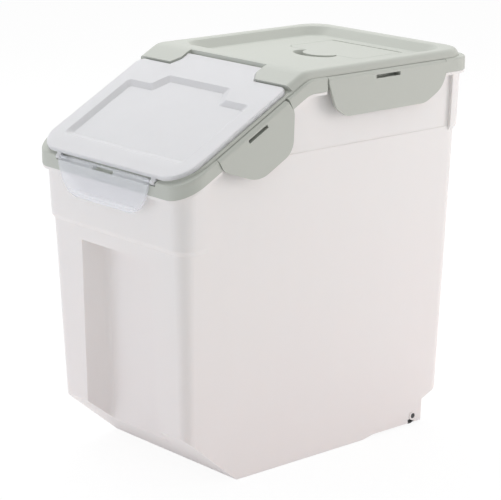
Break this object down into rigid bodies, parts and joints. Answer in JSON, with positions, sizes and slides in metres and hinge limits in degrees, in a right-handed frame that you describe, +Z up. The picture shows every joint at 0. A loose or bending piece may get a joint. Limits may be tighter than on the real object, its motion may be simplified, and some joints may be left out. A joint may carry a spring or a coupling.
{
  "type": "pet food storage container",
  "caption": "Lidded rolling bin for dry pet food, with a slanted flip-up pouring lid, side latches and an absorber compartment.",
  "frame": {"origin": "on the base plane, under the middle of the main lid's band", "axes": "+Z up, -Y towards the slanted pouring end, +X to the right when facing the pouring end, looking along +Y"},
  "size_m": [0.239, 0.385, 0.3946],
  "materials": {
    "tub_plastic": "satin translucent",
    "sage_plastic": "fine matt",
    "frosted_plastic": "frosted translucent",
    "clear_plastic": "clear polished",
    "white_plastic": "satin",
    "seal_rubber": "soft matt",
    "wheel_plastic": "satin",
    "axle_steel": "blackened",
    "pin_steel": "drawn"
  },
  "bodies": {
    "tub": {"tub": "tub_plastic", "wheel_axle_right": "axle_steel", "wheel_axle_left": "axle_steel"},
    "main_lid": {"main_lid": "sage_plastic", "main_lid_seal": "seal_rubber", "absorber_cup": "white_plastic", "absorber_seal": "seal_rubber", "absorber_cover_pin": "pin_steel", "flip_lid_pin_right": "pin_steel", "flip_lid_pin_left": "pin_steel", "rear_latch_pin_right": "pin_steel", "rear_latch_pin_left": "pin_steel", "slope_latch_pin_right": "pin_steel", "slope_latch_pin_left": "pin_steel"},
    "flip_lid": {"flip_lid": "frosted_plastic", "flip_lid_seal": "seal_rubber", "front_latch_pin_right": "pin_steel", "front_latch_pin_left": "pin_steel"},
    "front_latch": {"front_latch": "clear_plastic"},
    "absorber_cover": {"absorber_cover": "sage_plastic"},
    "rear_latch_right": {"rear_latch_right": "sage_plastic"},
    "slope_latch_right": {"slope_latch_right": "sage_plastic"},
    "wheel_right": {"wheel_right": "wheel_plastic"},
    "rear_latch_left": {"rear_latch_left": "sage_plastic"},
    "slope_latch_left": {"slope_latch_left": "sage_plastic"},
    "wheel_left": {"wheel_left": "wheel_plastic"}
  },
  "joints": [
    {"name": "main_lid_lift", "type": "slide", "parent": "tub", "child": "main_lid", "axis": [0, 0, 1], "range_m": [0, 0.15]},
    {"name": "flip_lid_hinge", "type": "hinge", "parent": "main_lid", "child": "flip_lid", "pos_m": [0, -0.04137, 0.38737], "axis": [-1, 0, 0], "range_deg": [0, 120]},
    {"name": "front_latch_hinge", "type": "hinge", "parent": "flip_lid", "child": "front_latch", "pos_m": [0, -0.18873, 0.30355], "axis": [-1, 0, 0], "range_deg": [0, 90]},
    {"name": "absorber_cover_hinge", "type": "hinge", "parent": "main_lid", "child": "absorber_cover", "pos_m": [0, 0.1494, 0.383], "axis": [-1, 0, 0], "range_deg": [0, 95]},
    {"name": "rear_latch_hinge_right", "type": "hinge", "parent": "main_lid", "child": "rear_latch_right", "pos_m": [0.11445, -0.013, 0.3828], "axis": [0, -1, 0], "range_deg": [0, 105]},
    {"name": "rear_latch_hinge_left", "type": "hinge", "parent": "main_lid", "child": "rear_latch_left", "pos_m": [-0.11445, -0.013, 0.3828], "axis": [0, 1, 0], "range_deg": [0, 105]},
    {"name": "slope_latch_hinge_right", "type": "hinge", "parent": "main_lid", "child": "slope_latch_right", "pos_m": [0.11445, -0.14715, 0.32225], "axis": [0, -0.8809, -0.4732], "range_deg": [0, 105]},
    {"name": "slope_latch_hinge_left", "type": "hinge", "parent": "main_lid", "child": "slope_latch_left", "pos_m": [-0.11445, -0.14715, 0.32225], "axis": [0, 0.8809, 0.4732], "range_deg": [0, 105]},
    {"name": "wheel_spin_right", "type": "hinge", "parent": "tub", "child": "wheel_right", "pos_m": [0.08587, 0.1356, 0.01], "axis": [1, 0, 0], "continuous": true},
    {"name": "wheel_spin_left", "type": "hinge", "parent": "tub", "child": "wheel_left", "pos_m": [-0.08587, 0.1356, 0.01], "axis": [1, 0, 0], "continuous": true}
  ]
}
